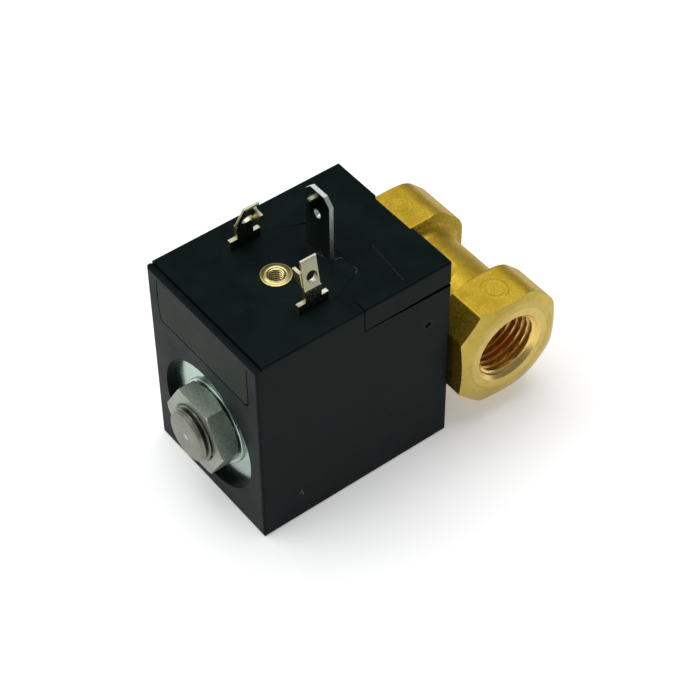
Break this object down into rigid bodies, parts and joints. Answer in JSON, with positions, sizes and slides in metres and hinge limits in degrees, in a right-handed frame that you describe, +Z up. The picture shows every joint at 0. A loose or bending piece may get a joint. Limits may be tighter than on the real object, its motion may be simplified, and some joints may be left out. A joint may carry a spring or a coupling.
{
  "type": "solenoid valve",
  "caption": "Two-way solenoid valve: black moulded square coil with flat terminals on a brass body with a threaded female port at each side, held by a hex nut.",
  "frame": {"origin": "centre of the overall box's bottom face: X on the tube axis, Z on the coil's lower face, Y midway between the stud's end and the body's rear flat", "axes": "+Z up through the terminals, +Y from the coil nut towards the brass body along the tube, +X along the port axis towards the outlet"},
  "size_m": [0.0352, 0.065, 0.0541],
  "materials": {
    "forged_brass": "forged, tumbled, satin",
    "insert_brass": "turned, bright",
    "power_blade": "stamped, thin tin plate",
    "earth_blade": "stamped, bright plate",
    "stainless": "turned, satin",
    "nut_steel": "cold formed, dull",
    "washer_steel": "bright",
    "zinc_plate": "clear zinc plate",
    "copper": "enamelled or bare copper",
    "coil_plastic": "moulded, semi-gloss",
    "panel_plastic": "moulded, satin",
    "carrier_plastic": "moulded, semi-gloss",
    "cap_plastic": "moulded, semi-gloss",
    "bobbin_plastic": "moulded",
    "rubber": "moulded, dull"
  },
  "bodies": {
    "valve": {"valve_body": "forged_brass", "fixed_core": "stainless", "shading_ring": "copper", "guide_tube": "stainless", "tube_collar": "stainless", "tube_o_ring": "rubber", "plunger_spring": "stainless"},
    "plunger": {"plunger": "stainless", "plunger_seal": "rubber"},
    "coil": {"coil_housing": "coil_plastic", "front_panel": "panel_plastic", "terminal_carrier": "carrier_plastic", "rear_top_cap": "cap_plastic", "bobbin": "bobbin_plastic", "winding": "copper", "yoke_frame": "zinc_plate", "flux_sleeve_front": "zinc_plate", "flux_sleeve_rear": "zinc_plate", "coil_gasket": "rubber", "power_terminal_left": "power_blade", "power_terminal_right": "power_blade", "earth_terminal": "earth_blade", "threaded_insert": "insert_brass", "winding_lead_left": "copper", "winding_lead_right": "copper"},
    "washer": {"lock_washer": "washer_steel"},
    "nut": {"coil_nut": "nut_steel"}
  },
  "joints": [
    {"name": "plunger_slide", "type": "slide", "parent": "valve", "child": "plunger", "axis": [0, -1, 0], "range_m": [0, 0.002], "stiffness_N_per_m": 400, "springref_m": -0.004, "deforming": ["plunger_spring"]},
    {"name": "coil_swivel", "type": "hinge", "parent": "valve", "child": "coil", "pos_m": [0, -0.00855, 0.0152], "axis": [0, 1, 0], "continuous": true},
    {"name": "washer_slide", "type": "slide", "parent": "valve", "child": "washer", "axis": [0, -1, 0], "range_m": [0, 0.005]},
    {"name": "nut_turn", "type": "hinge", "parent": "washer", "child": "nut", "pos_m": [0, -0.0289, 0.0152], "axis": [0, -1, 0], "range_deg": [0, 1800]}
  ],
  "couplings": [
    {"joint": "nut_turn", "follows": "washer_slide", "rad_per_m": 6283.2}
  ]
}
